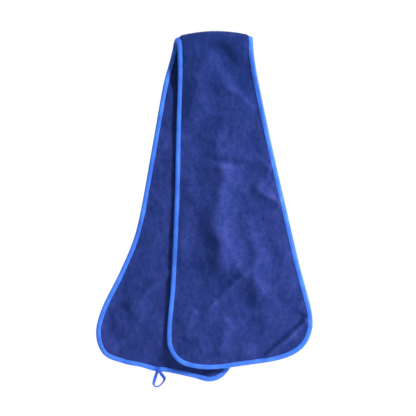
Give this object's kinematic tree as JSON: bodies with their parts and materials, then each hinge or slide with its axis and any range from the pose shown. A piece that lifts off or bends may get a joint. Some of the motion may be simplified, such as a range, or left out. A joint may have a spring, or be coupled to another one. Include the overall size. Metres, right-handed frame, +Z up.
{
  "type": "golf towel",
  "caption": "Contoured microfibre towel folded over a rail at its narrow waist, with wide rounded ends, an edge binding and a small hanging loop.",
  "frame": {"origin": "on the axis of the rail that the towel hangs over, half-way along the fold, 7.5 mm under the inside of the crest's middle", "axes": "+X along the rail, +Y from the front panel towards the rear panel, +Z up"},
  "size_m": [0.3813, 0.0248, 0.6237],
  "materials": {
    "pile_cloth": "brushed microfibre pile, matt",
    "binding_tape": "woven polyester tape, slight sheen",
    "seam_thread": "spun polyester sewing thread",
    "loop_tape": "woven polyester tape, slight sheen",
    "tack_thread": "spun polyester sewing thread"
  },
  "bodies": {
    "top_fold": {"fold_cloth": "pile_cloth", "fold_binding_left": "binding_tape", "fold_binding_right": "binding_tape", "fold_threads_left": "seam_thread", "fold_threads_right": "seam_thread"},
    "front_panel": {"front_panel_cloth": "pile_cloth", "front_binding": "binding_tape", "front_needle_thread": "seam_thread", "front_bobbin_thread": "seam_thread"},
    "rear_panel": {"rear_panel_cloth": "pile_cloth", "rear_binding": "binding_tape", "rear_needle_thread": "seam_thread", "rear_bobbin_thread": "seam_thread", "loop_tape_ends": "loop_tape", "loop_bar_tack": "tack_thread"},
    "loop": {"hanging_loop": "loop_tape"}
  },
  "joints": [
    {"name": "front_panel_swing", "type": "hinge", "parent": "top_fold", "child": "front_panel", "pos_m": [0, -0.0102, -0.015], "axis": [-1, 0, 0], "range_deg": [0, 75]},
    {"name": "rear_panel_swing", "type": "hinge", "parent": "top_fold", "child": "rear_panel", "pos_m": [0, 0.0102, -0.015], "axis": [1, 0, 0], "range_deg": [0, 75]},
    {"name": "loop_swing", "type": "hinge", "parent": "rear_panel", "child": "loop", "pos_m": [-0.0985, 0.0075, -0.57865], "axis": [0.9782, 0, -0.2078], "range_deg": [-80, 80]}
  ]
}
